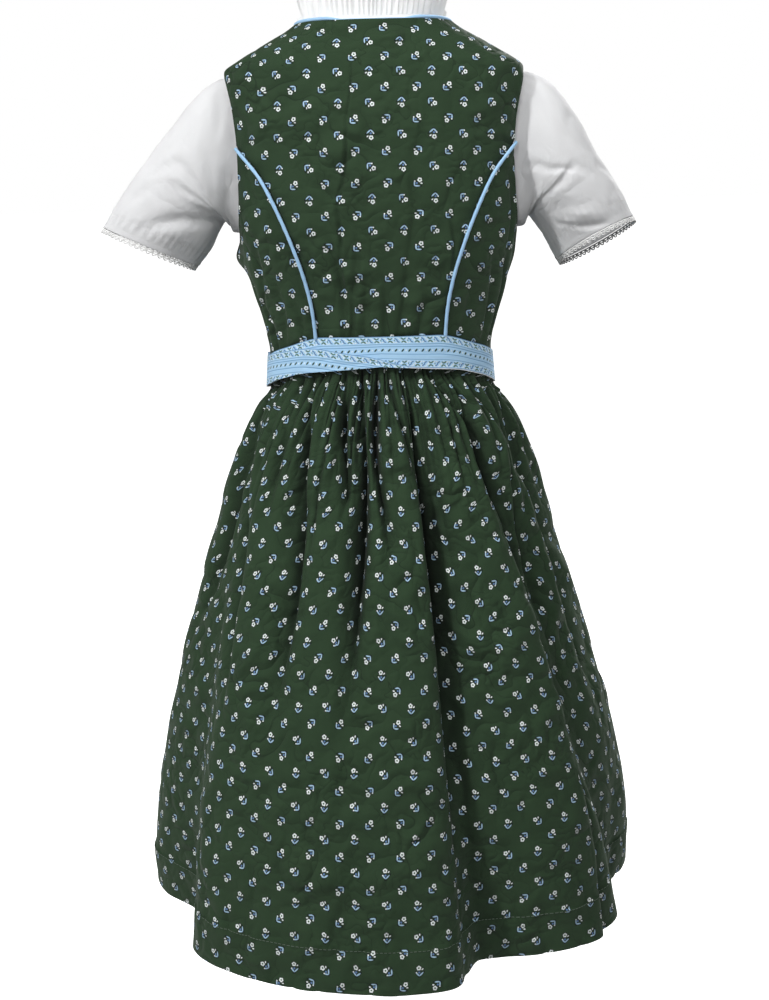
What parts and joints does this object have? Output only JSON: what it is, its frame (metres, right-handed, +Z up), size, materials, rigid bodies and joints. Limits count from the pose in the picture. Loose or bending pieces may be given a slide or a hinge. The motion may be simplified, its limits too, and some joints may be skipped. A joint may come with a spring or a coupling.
{
  "type": "dirndl dress",
  "caption": "Midi dirndl dress with a fitted bodice, gathered skirt, short-sleeved blouse with a ruffle collar and a tied apron, filled out as worn.",
  "frame": {"origin": "middle of the shoulder line, midway between the two shoulder seams, where the wearer holds the garment up", "axes": "+Z up; the front looks along -Y; +X is the wearer's left"},
  "size_m": [0.6467, 0.5532, 1.1186],
  "materials": {
    "green_cotton": "matt printed cotton, dark green with small white and blue flowers",
    "blue_apron_cotton": "matt woven cotton, light blue with a patterned border",
    "white_blouse_cotton": "matt white cotton",
    "white_lace": "white cotton lace and pleated frill",
    "blue_piping": "light blue cotton cord piping",
    "pewter": "dull pewter"
  },
  "bodies": {
    "root": {"bodice_back": "green_cotton", "bodice_side_back_left": "green_cotton", "bodice_side_back_right": "green_cotton", "bodice_front_left": "green_cotton", "bodice_front_right": "green_cotton", "back_piping_left": "blue_piping", "back_piping_right": "blue_piping", "neck_piping": "blue_piping", "button_1": "pewter", "button_2": "pewter", "button_3": "pewter", "button_4": "pewter", "button_5": "pewter", "skirt_back": "green_cotton", "skirt_front": "green_cotton", "apron_panel": "blue_apron_cotton", "apron_waistband": "blue_apron_cotton", "tie_from_left": "blue_apron_cotton", "tie_from_right": "blue_apron_cotton", "bow_knot": "blue_apron_cotton", "bow_loop_left": "blue_apron_cotton", "bow_loop_right": "blue_apron_cotton", "bow_tail_left": "blue_apron_cotton", "bow_tail_right": "blue_apron_cotton", "blouse_back": "white_blouse_cotton", "blouse_front": "white_blouse_cotton", "sleeve_left": "white_blouse_cotton", "sleeve_right": "white_blouse_cotton", "sleeve_lace_left": "white_lace", "sleeve_lace_right": "white_lace", "collar_ruffle": "white_lace"}
  },
  "joints": []
}
